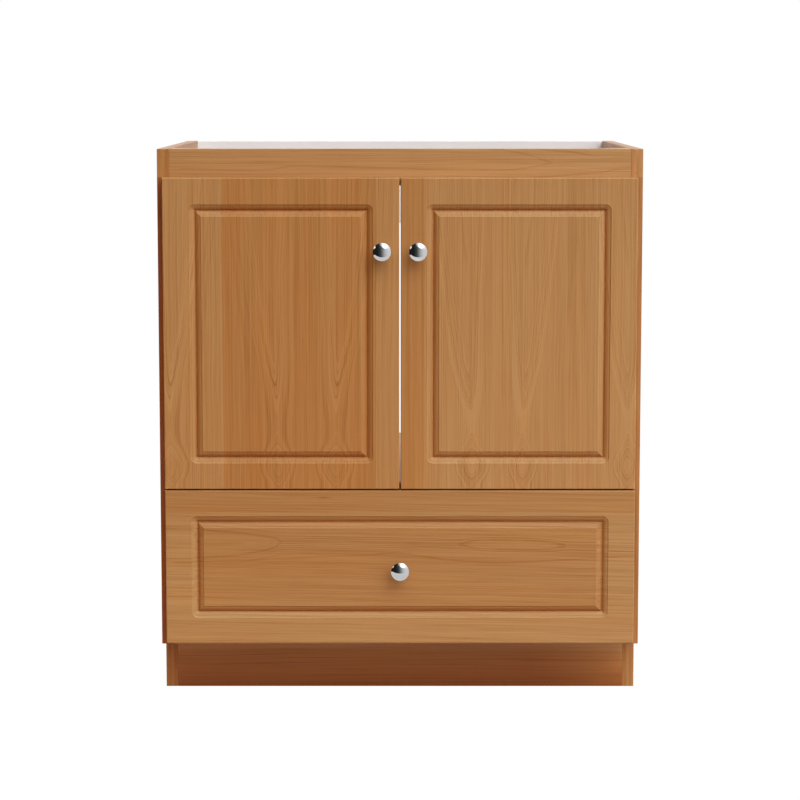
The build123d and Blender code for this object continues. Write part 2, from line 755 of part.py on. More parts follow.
# ---- Drawer box ----
BOX_Y = (Y_SLAB_BACK, Y_SLAB_BACK + BOX_DEPTH)
BOX_LEVEL = (BOX_Z, BOX_Z + BOX_HEIGHT)


def tails(y_root, y_tip):
    """Dovetails on one end of the left side board."""
    pitch = BOX_HEIGHT / TAILS
    shapes = []
    for n in range(TAILS):
        z = BOX_Z + pitch * (n + 0.5)
        outline = [
            (y_root, z - TAIL_ROOT / 2),
            (y_tip, z - TAIL_TIP / 2),
            (y_tip, z + TAIL_TIP / 2),
            (y_root, z + TAIL_ROOT / 2),
        ]
        shapes.append(prism_across(outline, -BOX_X, -BOX_X + BOX_BOARD))
    return shapes


def end_tails(end):
    """Dovetails at the front or the back end of the left side board."""
    if end == "front":
        return tails(BOX_Y[0] + BOX_BOARD, BOX_Y[0])
    return tails(BOX_Y[1] - BOX_BOARD, BOX_Y[1])


def drawer_bottom():
    """Plywood bottom, held in grooves on all four sides."""
    into = BOX_BOARD / 2
    x = BOX_X - BOX_BOARD + into
    low = BOX_Z + BOX_BOTTOM_UP
    return block(
        (-x, x),
        (BOX_Y[0] + BOX_BOARD - into, BOX_Y[1] - BOX_BOARD + into),
        (low, low + BOX_BOTTOM_PLY),
    )


def front_screw_places():
    """Heads of the screws that hold the drawer front, on the box front's inner face."""
    y = BOX_Y[0] + BOX_BOARD
    heights = (BOX_Z + FRONT_SCREW_ABOVE_BOTTOM, BOX_Z + BOX_HEIGHT - FRONT_SCREW_BELOW_TOP)
    places = [(side * FRONT_SCREW_OUT, y, z) for side in (-1, 1) for z in heights]
    return [(place, (0, -1, 0)) for place in places]


FRONT_SCREW = {"head_radius": 3.8, "shank_radius": 2.0, "length": 25.0}


def box_side():
    """Left side board with its tails and the groove for the bottom."""
    body = block(
        (-BOX_X, -BOX_X + BOX_BOARD), (BOX_Y[0] + BOX_BOARD, BOX_Y[1] - BOX_BOARD), BOX_LEVEL
    )
    body = fillet(body.edges().filter_by(Axis.Y).group_by(Axis.Z)[-1], BOX_TOP_ROUND)
    for tail in end_tails("front") + end_tails("back"):
        body = body + tail
    holes = [flat_screw_hole(*s, **SLIDE_SCREW) for s in inner_slide_screws(-1)]
    return cut(body, [drawer_bottom()] + holes)


def box_end(end):
    """Front or back board with the sockets for the tails."""
    y = (BOX_Y[0], BOX_Y[0] + BOX_BOARD)
    if end == "back":
        y = (BOX_Y[1] - BOX_BOARD, BOX_Y[1])
    body = block((-BOX_X, BOX_X), y, BOX_LEVEL)
    left = end_tails(end)
    return cut(body, left + [to_right(tail) for tail in left] + [drawer_bottom()])


def knob_bore(y_low, y_high):
    """The hole for the drawer knob's screw through one board."""
    return rod(
        "y", (0, (y_low + y_high) / 2, DRAWER_KNOB_HEIGHT), KNOB_SCREW_RADIUS, y_high - y_low
    )


def drawer_front():
    """The wide slab of the drawer."""
    slab = raised_slab(2 * X_DOOR_OUT, FRONT_TOP - FRONT_BOTTOM)
    body = stand(slab, 0, (FRONT_TOP + FRONT_BOTTOM) / 2)
    holes = [flat_screw_hole(*s, **FRONT_SCREW) for s in front_screw_places()]
    return cut(body, holes + [knob_bore(Y_SLAB_FRONT - 1, Y_SLAB_BACK + 1)])


def drawer_box_front():
    """The box's front board, which the slab is screwed to."""
    holes = [flat_screw_hole(*s, **FRONT_SCREW) for s in front_screw_places()]
    return cut(box_end("front"), holes + [knob_bore(BOX_Y[0] - 1, BOX_Y[0] + BOX_BOARD + 1)])


# ---- The whole object, one entry for each piece or group of identical fasteners ----
def carcass_nodes():
    """Everything that stays still."""
    side = side_panel()
    outer = slide_outer()
    block_left = corner_block()
    nodes = {
        "side_panel_left": side,
        "side_panel_right": to_right(side),
        "top_rail": cross_board((Y_FRONT, Y_FRONT + PANEL), (HEIGHT - TOP_RAIL_HEIGHT, HEIGHT)),
        "mid_rail": cross_board((Y_FRONT, Y_FRONT + PANEL), (DECK_TOP - MID_RAIL_HEIGHT, DECK_TOP)),
        "deck_panel": deck_panel(),
        "bottom_panel": cross_board((Y_FRONT, Y_BACK), (TOE_HEIGHT, FLOOR_TOP)),
        "toe_board": cross_board((Y_TOE, Y_TOE + PANEL), (0, TOE_HEIGHT)),
        "hanging_rail": cross_board((Y_BACK - PANEL, Y_BACK), (HEIGHT - HANGING_RAIL_HEIGHT, HEIGHT)),
        "lower_back_rail": cross_board(
            (Y_BACK - PANEL, Y_BACK), (FLOOR_TOP, FLOOR_TOP + LOWER_BACK_RAIL_HEIGHT)
        ),
        "corner_blocks": join([block_left, to_right(block_left)]),
        "joint_dowels": join(ALL_DOWELS),
        "slide_outer_left": outer,
        "slide_outer_right": to_right(outer),
    }
    slide_screws = [
        flat_screw(*s, **SLIDE_SCREW) for s in outer_slide_screws(-1) + outer_slide_screws(1)
    ]
    nodes["slide_outer_screws"] = join(slide_screws)
    plate_screws = []
    arm_screws = []
    for name, height in HINGE_HEIGHTS.items():
        plate = hinge_plate(height)
        arm = hinge_arm(height)
        nodes["hinge_plate_left_" + name] = plate
        nodes["hinge_plate_right_" + name] = to_right(plate)
        nodes["hinge_arm_left_" + name] = arm
        nodes["hinge_arm_right_" + name] = to_right(arm)
        plates = [flat_screw(at, (-1, 0, 0), **PLATE_SCREW) for at in plate_screw_places(height)]
        arms = [arm_screw(at) for at in arm_screw_places(height)]
        plate_screws += plates + [to_right(shape) for shape in plates]
        arm_screws += arms + [to_right(shape) for shape in arms]
    nodes["hinge_plate_screws"] = join(plate_screws)
    nodes["hinge_arm_screws"] = join(arm_screws)
    return nodes


def door_nodes():
    """Both doors with what is fixed to them."""
    panel = door_panel()
    handle = knob(-X_KNOB, DOOR_KNOB_HEIGHT)
    handle_screw = knob_screw(
        -X_KNOB, Y_SLAB_BACK, Y_SLAB_FRONT - KNOB_SCREW_BITE, DOOR_KNOB_HEIGHT
    )
    cup_screws = []
    nodes = {}
    for name, height in HINGE_HEIGHTS.items():
        cup = hinge_cup(height)
        pin = hinge_pin(height)
        nodes["hinge_cup_left_" + name] = cup
        nodes["hinge_cup_right_" + name] = to_right(cup)
        nodes["hinge_pin_left_" + name] = pin
        nodes["hinge_pin_right_" + name] = to_right(pin)
        cup_screws += [flat_screw(at, (0, -1, 0), **CUP_SCREW) for at in cup_screw_places(height)]
    nodes["door_panel_left"] = panel
    nodes["door_panel_right"] = to_right(panel)
    nodes["door_knob_left"] = handle
    nodes["door_knob_right"] = to_right(handle)
    nodes["door_knob_screw_left"] = handle_screw
    nodes["door_knob_screw_right"] = to_right(handle_screw)
    nodes["hinge_cup_screws_left"] = join(cup_screws)
    nodes["hinge_cup_screws_right"] = join(to_right(shape) for shape in cup_screws)
    nodes["door_bumpers_left"] = door_bumpers(-1)
    nodes["door_bumpers_right"] = door_bumpers(1)
    return nodes


def drawer_nodes():
    """The drawer and the slide members that travel with it."""
    side = box_side()
    inner = slide_inner()
    middle = slide_middle()
    cage = ball_cage()
    inner_screws = [
        flat_screw(*s, **SLIDE_SCREW) for s in inner_slide_screws(-1) + inner_slide_screws(1)
    ]
    front_screws = [flat_screw(*s, **FRONT_SCREW) for s in front_screw_places()]
    return {
        "drawer_front": drawer_front(),
        "drawer_box_front": drawer_box_front(),
        "drawer_box_back": box_end("back"),
        "drawer_side_left": side,
        "drawer_side_right": to_right(side),
        "drawer_bottom": drawer_bottom(),
        "drawer_knob": knob(0, DRAWER_KNOB_HEIGHT),
        "drawer_knob_screw": knob_screw(
            0, BOX_Y[0] + BOX_BOARD, Y_SLAB_FRONT - KNOB_SCREW_BITE, DRAWER_KNOB_HEIGHT
        ),
        "drawer_front_screws": join(front_screws),
        "drawer_bumpers": drawer_bumpers(),
        "slide_inner_left": inner,
        "slide_inner_right": to_right(inner),
        "slide_inner_screws": join(inner_screws),
        "slide_middle_left": middle,
        "slide_middle_right": to_right(middle),
        "ball_cage_left": cage,
        "ball_cage_right": join([to_right(shape) for shape in cage.solids()]),
    }


os.makedirs("parts", exist_ok=True)
pieces = {**carcass_nodes(), **door_nodes(), **drawer_nodes()}
for node_name, shape in pieces.items():
    export_step(shape, "parts/" + node_name + ".step")
print(len(pieces), "nodes")
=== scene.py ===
import math

import bpy
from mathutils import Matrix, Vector


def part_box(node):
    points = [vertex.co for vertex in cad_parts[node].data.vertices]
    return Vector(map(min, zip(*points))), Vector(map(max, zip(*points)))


# Looks of a sink base cabinet. Metres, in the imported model's own frame: +X right, -Y front, +Z up.
# Lengths inside the materials are millimetres, because wood grain is easier to read that way.

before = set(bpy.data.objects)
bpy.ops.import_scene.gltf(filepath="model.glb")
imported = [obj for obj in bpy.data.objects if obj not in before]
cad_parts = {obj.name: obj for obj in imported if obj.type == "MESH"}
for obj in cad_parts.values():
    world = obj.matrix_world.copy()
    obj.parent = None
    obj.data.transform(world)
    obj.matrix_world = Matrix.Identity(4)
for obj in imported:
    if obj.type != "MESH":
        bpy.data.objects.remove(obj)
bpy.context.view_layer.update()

# ---- Camera: the photograph's own viewing angle ----
# Sensor and lens in millimetres, the shift as a share of the picture.
SENSOR_WIDTH = 36.0
LENS = 103.77
SHIFT_DOWN = 0.08
CAMERA_DISTANCE = 3.620
CAMERA_HEIGHT = 0.975
CAMERA_TILT_DEG = 6.20


def make_camera():
    """Looks at the front, a little downwards, from a fixed distance to the carcass front."""
    carcass_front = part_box("side_panel_left")[0].y
    data = bpy.data.cameras.new("camera")
    data.sensor_width = SENSOR_WIDTH
    data.lens = LENS
    data.shift_y = -SHIFT_DOWN
    camera = bpy.data.objects.new("camera", data)
    camera.location = (0, carcass_front - CAMERA_DISTANCE, CAMERA_HEIGHT)
    camera.rotation_euler = (math.radians(90 - CAMERA_TILT_DEG), 0, 0)
    bpy.context.scene.collection.objects.link(camera)
    bpy.context.scene.camera = camera


make_camera()


# ---- Short calls for node trees ----
# Noise runs from 0 to 1, but mostly lies between these two.
NOISE_LOW = 0.3
NOISE_HIGH = 0.7
MM_PER_METRE = 1000.0


class Tree:
    """A node tree being built. A value given to a node is a number, a tuple or another socket."""

    def __init__(self, owner):
        owner.use_nodes = True
        self.nodes = owner.node_tree.nodes
        self.links = owner.node_tree.links

    def feed(self, socket, value):
        if isinstance(value, bpy.types.NodeSocket):
            self.links.new(value, socket)
        else:
            socket.default_value = value

    def math(self, operation, *values):
        node = self.nodes.new("ShaderNodeMath")
        node.operation = operation
        for socket, value in zip(node.inputs, values):
            self.feed(socket, value)
        return node.outputs[0]

    def add(self, *values):
        total = values[0]
        for value in values[1:]:
            total = self.math("ADD", total, value)
        return total

    def times(self, *values):
        total = values[0]
        for value in values[1:]:
            total = self.math("MULTIPLY", total, value)
        return total

    def minus(self, a, b):
        return self.math("SUBTRACT", a, b)

    def absolute(self, value):
        return self.math("ABSOLUTE", value)

    def between(self, value, low, high, to_low=0.0, to_high=1.0, smooth=True):
        """Value mapped from one range to another, held at its ends."""
        node = self.nodes.new("ShaderNodeMapRange")
        node.interpolation_type = "SMOOTHSTEP" if smooth else "LINEAR"
        for socket, number in zip(node.inputs, (value, low, high, to_low, to_high)):
            self.feed(socket, number)
        return node.outputs[0]

    def point(self, x, y, z):
        node = self.nodes.new("ShaderNodeCombineXYZ")
        for socket, value in zip(node.inputs, (x, y, z)):
            self.feed(socket, value)
        return node.outputs[0]

    def noise(self, place, detail=1.0, roughness=0.5):
        """Smooth noise, one swell per unit of place."""
        node = self.nodes.new("ShaderNodeTexNoise")
        node.inputs["Scale"].default_value = 1.0
        node.inputs["Detail"].default_value = detail
        node.inputs["Roughness"].default_value = roughness
        self.links.new(place, node.inputs["Vector"])
        return node.outputs["Fac"]

    def spread(self, noise, low=0.0, high=1.0):
        """Noise spread out so that it runs from low to high."""
        return self.between(noise, NOISE_LOW, NOISE_HIGH, low, high)

    def ramp(self, value, stops, interpolation="LINEAR"):
        """A colour ramp through (position, colour) stops."""
        node = self.nodes.new("ShaderNodeValToRGB")
        node.color_ramp.interpolation = interpolation
        elements = node.color_ramp.elements
        while len(elements) < len(stops):
            elements.new(1.0)
        for element, (position, colour) in zip(elements, stops):
            element.position = position
            element.color = (*colour, 1.0)
        self.links.new(value, node.inputs[0])
        return node.outputs[0]

    def clouded(self, noise, dark, light):
        """Colours between a dark and a light one, by noise."""
        return self.ramp(noise, [(NOISE_LOW, dark), (NOISE_HIGH, light)])

    def ramp_over(self, place, low, high, stops, interpolation="LINEAR"):
        """A colour ramp laid out along a place from low to high."""
        return self.ramp(self.between(place, low, high, smooth=False), stops, interpolation)

    def curve(self, value, points, low, high):
        """A smooth curve through (value, result) points, whose results lie between low and high."""
        first, last = points[0][0], points[-1][0]
        stops = []
        for place, result in points:
            level = (result - low) / (high - low)
            stops.append(((place - first) / (last - first), (level,) * 3))
        level = self.ramp_over(value, first, last, stops, "CARDINAL")
        return self.add(self.times(level, high - low), low)

    def mix(self, share, a, b, blend="MIX"):
        """Colour a turning into colour b as share goes from 0 to 1."""
        node = self.nodes.new("ShaderNodeMix")
        node.data_type = "RGBA"
        node.blend_type = blend
        self.feed(node.inputs[0], share)
        for socket, value in zip((node.inputs[6], node.inputs[7]), (a, b)):
            self.feed(socket, (*value, 1.0) if isinstance(value, tuple) else value)
        return node.outputs[2]

    def tinted(self, colour, tint):
        """A colour multiplied by a tint."""
        return self.mix(1.0, colour, tint, "MULTIPLY")

    def bump(self, height, distance, strength):
        """A relief on the surface; its distance is in metres."""
        node = self.nodes.new("ShaderNodeBump")
        node.inputs["Strength"].default_value = strength
        node.inputs["Distance"].default_value = distance
        self.links.new(height, node.inputs["Height"])
        return node.outputs["Normal"]


class Material(Tree):
    """A material being built, with the place on the object in millimetres and the way it faces."""

    def __init__(self, name, **fixed):
        self.made = bpy.data.materials.new(name)
        super().__init__(self.made)
        self.shader = self.nodes["Principled BSDF"]
        for socket, value in fixed.items():
            self.shader.inputs[socket.replace("_", " ")].default_value = value
        coordinates = self.nodes.new("ShaderNodeTexCoord")
        facing = self.nodes.new("ShaderNodeSeparateXYZ")
        self.links.new(coordinates.outputs["Normal"], facing.inputs[0])
        self.facing_x, _, self.facing_z = facing.outputs
        scaled = self.nodes.new("ShaderNodeVectorMath")
        scaled.operation = "SCALE"
        scaled.inputs["Scale"].default_value = MM_PER_METRE
        self.links.new(coordinates.outputs["Object"], scaled.inputs[0])
        split = self.nodes.new("ShaderNodeSeparateXYZ")
        self.links.new(scaled.outputs[0], split.inputs[0])
        self.x, self.y, self.z = split.outputs

    def cells(self, sizes, offset=0.0):
        """The place counted in cells of the given size along x, y and z."""
        x, y, z = (
            self.math("DIVIDE", self.add(axis, offset), size)
            for axis, size in zip((self.x, self.y, self.z), sizes)
        )
        return self.point(x, y, z)

    def wear(self, socket, value):
        self.links.new(value, self.shader.inputs[socket])


# ---- Wood: palettes and tints ----
# Each palette has the plain tone, and what multiplies it at the darkest line and lightest streak.
FINISHED = {"dark": (0.78, 0.66, 0.55), "light": (1.10, 1.16, 1.26)}
HONEY = {"base": (0.455, 0.204, 0.065), **FINISHED}
TOP_RAIL = {"base": (0.515, 0.262, 0.096), **FINISHED}
# The toe board's palette is a darker, redder copy of the honey wood: painted shade for the recess
# under the drawer.
TOE_SHADED = {"base": (0.425, 0.140, 0.037), **FINISHED}
BARE = {"base": (0.530, 0.335, 0.215), "dark": (0.84, 0.77, 0.68), "light": (1.06, 1.08, 1.12)}
MAPLE = {"base": (0.620, 0.425, 0.250), "dark": (0.86, 0.79, 0.70), "light": (1.05, 1.07, 1.10)}
BEECH = {"base": (0.560, 0.370, 0.220), "dark": (0.82, 0.75, 0.68), "light": (1.05, 1.07, 1.10)}

# Tints of the separate boards that a slab is glued up from.
EVEN = (1.0, 1.0, 1.0)
PALE = (1.04, 1.13, 1.22)
RED = (0.985, 0.945, 0.84)
DRAWER_RED = (0.945, 0.98, 1.01)
DRAWER_PALE = (0.995, 1.14, 1.31)

# ---- Wood: its noise ----
# Layers drawn out along the grain: width across it, length along it, and a shift that makes each
# layer its own.
DRIFT = (95, 430, 3)
SWAY = (22, 120, 7)
WAVER = (40, 150, 33)
MEDIUM = (5.0, 1300, 37)
FLECKS = (1.3, 60, 35)
BROAD = (16, 800, 39)
SLOW = (75, 620, 41)
WARMTH = (30, 420, 47)
PORES = (0.7, 11, 53)
BREAKS = (6, 45, 67)
# Fine fibres and growth lines get their length or width from each board.
FINE_WIDTH = 1.7
FINE_SHIFT = 31
MARK_LENGTH = 1500
MARK_SHIFT = 61

# Shade 0 is the lightest streak and 1 the darkest line. Layers push it either way by this much.
PLAIN_SHADE = 0.38
MARKS_PUSH = 0.75
FINE_PUSH = 0.72
MEDIUM_PUSH = 0.26
OTHER_PUSHES = ((FLECKS, 0.28), (BROAD, 0.12), (SLOW, 0.18))
SWAY_SHARE = 0.25
WAVER_REACH = 2.2
WARM_TINTS = [(0.0, (1.01, 0.99, 0.96)), (1.0, (0.99, 1.01, 1.04))]
PORE_NOISE = (0.66, 0.78)
PORE_DARKNESS = 0.45
PORE_COVER = 0.30
WOOD_ROUGHNESS = (0.37, 0.47)
WOOD_SPECULAR = 0.25
WOOD_RELIEF = 0.0001
WOOD_RELIEF_STRENGTH = 0.25
# How fibres, lines and pores stand up or sink in the relief.
FINE_HEIGHT = 0.6
MARKS_HEIGHT = -0.2
PORES_HEIGHT = -0.8

# A growth line and the pale streaks on both its sides, as noise off its middle level.
MARK_EDGE = 0.04
MARK_PALE_EDGE = 0.10
MARK_PALE = 0.45

# How lines bend round a heart. The rounding is a length squared; the fade lies across the heart.
HEART_ROUNDING = 10.0
HEART_FADE = 4.0
COLUMN_BLEND = 9.0
WAIST_REACH = 26.0
LEAST_OPENING = 0.5
# In half widths: the line that starts at the heart ends up one half width out.
OPENING_HEIGHT = 1.67
OPENING_REACH = 1.4
# Growth lines are strong near the edge of the open grain and faint away from it.
NEAR_EDGE = 12.0
FAINT = 0.12

OUTLINE_CORE = 0.3
OUTLINE_WIDTH = 2.2
BREAK_NOISE = (0.25, 0.55)
BREAK_LEAST = 0.4
LINE_MARGIN = 10
LINE_FADE_IN = 25
LINE_FADE_OUT = 8
LINE_OVERRUN = 2


class Wood(Material):
    """Flat-sawn wood: lines that follow the figure, fine fibres, pores, slow changes of tone.

    The figure is the distance from a heart line, bent so that its lines meet in long tips and eyes.
    """

    def __init__(self, name, along, across, depth, seed):
        super().__init__(name, Specular_IOR_Level=WOOD_SPECULAR)
        axes = {"x": self.x, "y": self.y, "z": self.z}
        self.along, self.across, self.depth = axes[along], axes[across], axes[depth]
        self.seed = seed

    def streaks(self, width, length, shift, detail=1.0, place=None):
        """Noise drawn out along the grain, laid out by place or else by the distance across."""
        across = self.math("DIVIDE", self.across if place is None else place, width)
        along = self.math("DIVIDE", self.along, length)
        depth = self.math("DIVIDE", self.depth, 3 * width)
        return self.noise(self.point(across, self.add(along, self.seed + shift), depth), detail)

    def swing(self, value, reach):
        """Noise turned into a push of up to about reach, either way."""
        return self.times(self.minus(value, 0.5), 2 * reach)

    def figure(self, hearts, tips, eyes=None, waist=None, far_side=1.0, wander=8.0):
        """Distance from the nearest heart, less how far the grain stands open there.

        A heart is its place across and the side, -1 or 1, that its tip opens to in full; the other
        side opens by the share far_side. Tips and eyes are half widths, a waist draws lines inward.
        """
        bent = self.add(self.across, self.swing(self.streaks(*DRIFT), wander))
        bent = self.add(bent, self.swing(self.streaks(*SWAY), wander * SWAY_SHARE))
        nearest = None
        for centre, side in hearts:
            away = self.minus(bent, centre)
            reach = self.math("SQRT", self.add(self.times(away, away), HEART_ROUNDING))
            share = self.between(self.times(away, side), -HEART_FADE, HEART_FADE, far_side, 1.0)
            value = self.minus(reach, self.opened(reach, self.times(tips, share)))
            if eyes is not None:
                value = self.minus(value, self.opened(reach, eyes))
            if waist is not None:
                value = self.add(value, self.times(waist, self.hill(reach, WAIST_REACH)))
            if nearest is None:
                nearest = value
            else:
                nearest = self.math("SMOOTH_MIN", nearest, value, COLUMN_BLEND)
        return nearest

    def opened(self, reach, half_width):
        """How far lines are pushed aside where the grain opens to a half width: none further out."""
        half_width = self.math("MAXIMUM", half_width, LEAST_OPENING)
        hill = self.hill(reach, self.times(half_width, OPENING_REACH))
        return self.times(half_width, OPENING_HEIGHT, hill)

    def hill(self, reach, width):
        """1 at nought, dying away in a bell shape over about the width."""
        share = self.math("DIVIDE", reach, width)
        return self.math("EXPONENT", self.times(share, share, -1.0))

    def near(self, figure, reach):
        """1 at the edge of the open grain, falling to a faint rest at the reach."""
        return self.between(self.absolute(figure), NEAR_EDGE, reach, 1.0, FAINT)

    def marks(self, figure, spacing, strength):
        """Single growth lines: positive on a dark line, negative on the pale streaks beside it."""
        swell = self.streaks(spacing, MARK_LENGTH, MARK_SHIFT, place=figure)
        off = self.absolute(self.minus(swell, 0.5))
        dark = self.between(off, 0.0, MARK_EDGE, 1.0, 0.0)
        pale = self.between(off, MARK_EDGE, MARK_PALE_EDGE, MARK_PALE, 0.0)
        return self.times(self.minus(dark, pale), strength)

    def outline(self, figure, strength, width=OUTLINE_WIDTH):
        """A dark line along the edge of the open grain, broken here and there."""
        broken = self.between(self.streaks(*BREAKS), *BREAK_NOISE, BREAK_LEAST, 1.0)
        line = self.between(self.absolute(figure), OUTLINE_CORE, width, strength, 0.0)
        return self.times(line, broken)

    def drawn_line(self, points, strength):
        """A dark line through (place along, place across) points, fading out at both ends."""
        places = [place for _, place in points]
        lowest, highest = min(places) - LINE_MARGIN, max(places) + LINE_MARGIN
        course = self.curve(self.along, points, lowest, highest)
        line = self.outline(self.minus(self.across, course), strength)
        first, last = points[0][0], points[-1][0]
        line = self.times(line, self.between(self.along, first, first + LINE_FADE_IN))
        end = self.between(self.along, last - LINE_FADE_OUT, last + LINE_OVERRUN, 1.0, 0.0)
        return self.times(line, end)

    def tone(self, palette, shade):
        """Colour of a shade from 0, the lightest streak, to 1, the darkest line."""
        factors = ((0.0, palette["light"]), (PLAIN_SHADE, EVEN), (1.0, palette["dark"]))
        stops = []
        for position, factor in factors:
            stops.append((position, tuple(b * f for b, f in zip(palette["base"], factor))))
        return self.ramp(shade, stops)

    def finish(
        self,
        palette,
        figure,
        marked=0.4,
        spacing=11.0,
        run=450,
        boards=None,
        inside=None,
        painted_light_and_shade=None,
        veins=None,
    ):
        """Joins lines, fibres and tone into colour, roughness and a fine relief.

        Growth lines are marked so strongly, at this spacing; run is the length of fine fibres.
        Boards may carry painted light, a further tint paints light and shade; inside is a mask and its
        palette, veins are further dark lines.
        """
        wavering = self.add(self.across, self.swing(self.streaks(*WAVER), WAVER_REACH))
        fine = self.streaks(FINE_WIDTH, run, FINE_SHIFT, detail=2, place=wavering)
        medium = self.streaks(*MEDIUM, place=figure)
        marks = self.marks(figure, spacing, marked)
        if veins is not None:
            marks = self.add(marks, veins)
        shade = self.add(self.times(marks, MARKS_PUSH), PLAIN_SHADE)
        shade = self.add(shade, self.swing(fine, FINE_PUSH), self.swing(medium, MEDIUM_PUSH))
        for layer, push in OTHER_PUSHES:
            shade = self.add(shade, self.swing(self.streaks(*layer), push))
        colour = self.tone(palette, shade)
        if boards is not None:
            colour = self.tinted(colour, boards)
        if inside is not None:
            mask, inner_palette = inside
            colour = self.mix(mask, colour, self.tone(inner_palette, shade))
        # A tint of painted light and shade.
        if painted_light_and_shade is not None:
            colour = self.tinted(colour, painted_light_and_shade)
        warm = self.spread(self.streaks(*WARMTH))
        colour = self.tinted(colour, self.ramp(warm, WARM_TINTS))
        pores = self.between(self.streaks(*PORES), *PORE_NOISE)
        dust = tuple(PORE_DARKNESS * channel for channel in palette["base"])
        colour = self.mix(self.times(pores, PORE_COVER), colour, dust)
        self.wear("Base Color", colour)
        self.wear("Roughness", self.spread(fine, *WOOD_ROUGHNESS))
        relief = self.add(
            self.times(fine, FINE_HEIGHT),
            self.times(marks, MARKS_HEIGHT),
            self.times(pores, PORES_HEIGHT),
        )
        self.wear("Normal", self.bump(relief, WOOD_RELIEF, WOOD_RELIEF_STRENGTH))
        return self.made


# ---- Wood: places on the cabinet, in millimetres ----
FRONT_HALF_WIDTH = 381.0
INNER_FACE = 361.95
PANEL_FRONT = MM_PER_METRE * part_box("side_panel_left")[0].y
TOP_EDGE = 876.3
SLAB_FACE = -264.475
DOOR_OUTER_EDGE = 371.5
DOOR_TOP = 831.85
DRAWER_PANEL_HALF_WIDTH = 320.7
DRAWER_PANEL_LOW = 142.9
DRAWER_PANEL_HIGH = 287.5
DRAWER_STRIP_LOW = 303.3
TOE_HEIGHT = 86.0
TOE_RECESS = 62.0
# A face's own tint starts to fade at the first depth under it and ends at the second.
SKIN_FADE = 0.1
SKIN = 0.3

# ---- Wood: finish of the fronts ----
GROOVE_REACH = 10.0
# Painted shade by depth in the groove, from the slab's face to the reach: near even at the lips,
# darker and redder in the crease.
CREASE_SHADE_TINTS = [
    (0.0, EVEN),
    (0.12, (0.98, 1.0, 1.02)),
    (0.42, (1.0, 0.96, 0.94)),
    (0.60, (1.0, 0.85, 0.72)),
]
# Painted shade and highlight by slope: redder on sides that face left and down, away from the light,
# paler on sides that face right and up, towards it.
SLOPE_RIGHT = 0.6
SLOPE_UP = 0.8
SLOPE_REACH = 0.6
SLOPE_SHADE_TINTS = [(0.0, (1.0, 0.82, 0.66)), (0.5, EVEN), (1.0, (0.98, 1.06, 1.16))]

# Painted light across the fronts: shade at the left end, light at the right end.
PAINTED_LEFT_SHADE = (0.985, 0.965, 0.92)
PAINTED_MIDDLE = (1.02, 1.02, 1.01)
PAINTED_RIGHT_LIGHT = (1.05, 1.08, 1.11)


def groove_painted_shade(wood):
    """Painted shade in the routed groove: dark in its crease, redder on the shaded sides."""
    deep = wood.minus(wood.y, SLAB_FACE)
    crease = wood.ramp_over(deep, 0.0, GROOVE_REACH, CREASE_SHADE_TINTS)
    slope = wood.add(wood.times(wood.facing_x, SLOPE_RIGHT), wood.times(wood.facing_z, SLOPE_UP))
    return wood.tinted(crease, wood.ramp_over(slope, -SLOPE_REACH, SLOPE_REACH, SLOPE_SHADE_TINTS))


def painted_light_across_fronts(wood, left=PAINTED_LEFT_SHADE):
    """Painted light: the fronts turn a little paler and yellower from the shaded left to the lit
    right.
    """
    tints = [(0.0, left), (0.5, PAINTED_MIDDLE), (1.0, PAINTED_RIGHT_LIGHT)]
    return wood.ramp_over(wood.x, -FRONT_HALF_WIDTH, FRONT_HALF_WIDTH, tints)


# ---- Wood: doors ----
# The boards of each door, left and right: where each starts, and its tint.
DOOR_BOARDS = {
    -1: [(-DOOR_OUTER_EDGE, PALE), (-280, RED), (-38, PALE)],
    1: [(-DOOR_OUTER_EDGE, RED), (37, PALE)],
}
# Hearts: distance from the cabinet's middle, and 1 where the tip opens outwards, -1 inwards.
DOOR_HEARTS = {
    -1: [(360, -1), (194, 1), (101, -1)],
    1: [(360, -1), (194, 1), (112, -1)],
}
# The right door's tips reach further down.
DOOR_TIP_DROP = {-1: 0, 1: 35}
DOOR_SEEDS = {-1: 4.0, 1: 6.0}
DOOR_LINE_SPACING = 9.0
DOOR_FAR_SIDE = 0.3
DOOR_NEAR = 32.0

# Half widths at each height: an eye near the bottom, a waist, then a long tip.
DOOR_EYES = [
    (340, 0), (346, 3), (360, 12), (378, 18), (392, 15), (410, 8), (430, 3), (460, 0), (832, 0),
]
DOOR_WAIST = [
    (340, 0), (385, 0), (410, 6), (433, 9), (470, 6), (520, 0), (600, 0), (832, 0),
]
DOOR_TIPS = [
    (340, 0), (460, 0), (498, 0), (504, 4), (516, 8), (535, 12), (574, 21), (635, 30), (711, 39),
    (832, 50),
]
# Ranges that the curves of half widths lie in.
TIP_RANGE = (-5, 60)
EYE_RANGE = (-5, 25)
WAIST_RANGE = (-5, 15)

# Heights between which the lines of a door change, and their strengths.
TIPS_FADE = (500, 800)
TIPS_HIGH = 0.6
WAIST_START = (378, 396)
WAIST_END = (430, 480)
WAIST_LINES = 0.8
TIP_OUTLINE_START = (470, 500)
TIP_OUTLINE = 0.32
EYE_OUTLINE_END = (376, 400)
EYE_OUTLINE = 0.55
EYE_OUTLINE_WIDTH = 3.4
# Distances of the rings of an eye from its edge.
EYE_RINGS = (-1.0, 6.0, 13.0)


